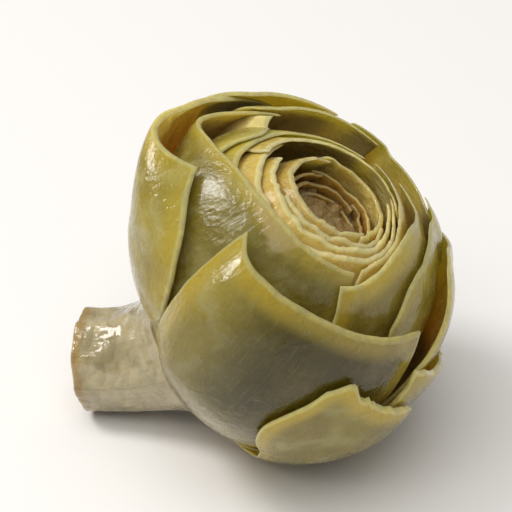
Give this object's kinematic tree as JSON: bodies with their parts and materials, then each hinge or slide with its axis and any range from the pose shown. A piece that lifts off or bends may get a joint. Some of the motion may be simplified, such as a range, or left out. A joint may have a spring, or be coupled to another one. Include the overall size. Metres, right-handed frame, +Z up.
{
  "type": "artichoke",
  "caption": "Cooked trimmed artichoke head lying on its side: cut leaves nested in layers round a hollow, short peeled stem",
  "frame": {"origin": "middle of the small flat spot under the head, on the surface that it lies on", "axes": "+Z up; the stem points to -X and the head's axis leans up towards +X; the open side of the head faces up and -Y"},
  "size_m": [0.0627, 0.0597, 0.0552],
  "materials": {
    "leaves": "wet satin, olive green to straw yellow",
    "stem": "wet satin, pale grey beige"
  },
  "bodies": {
    "root": {"leaf_head": "leaves", "stem": "stem"}
  },
  "joints": []
}
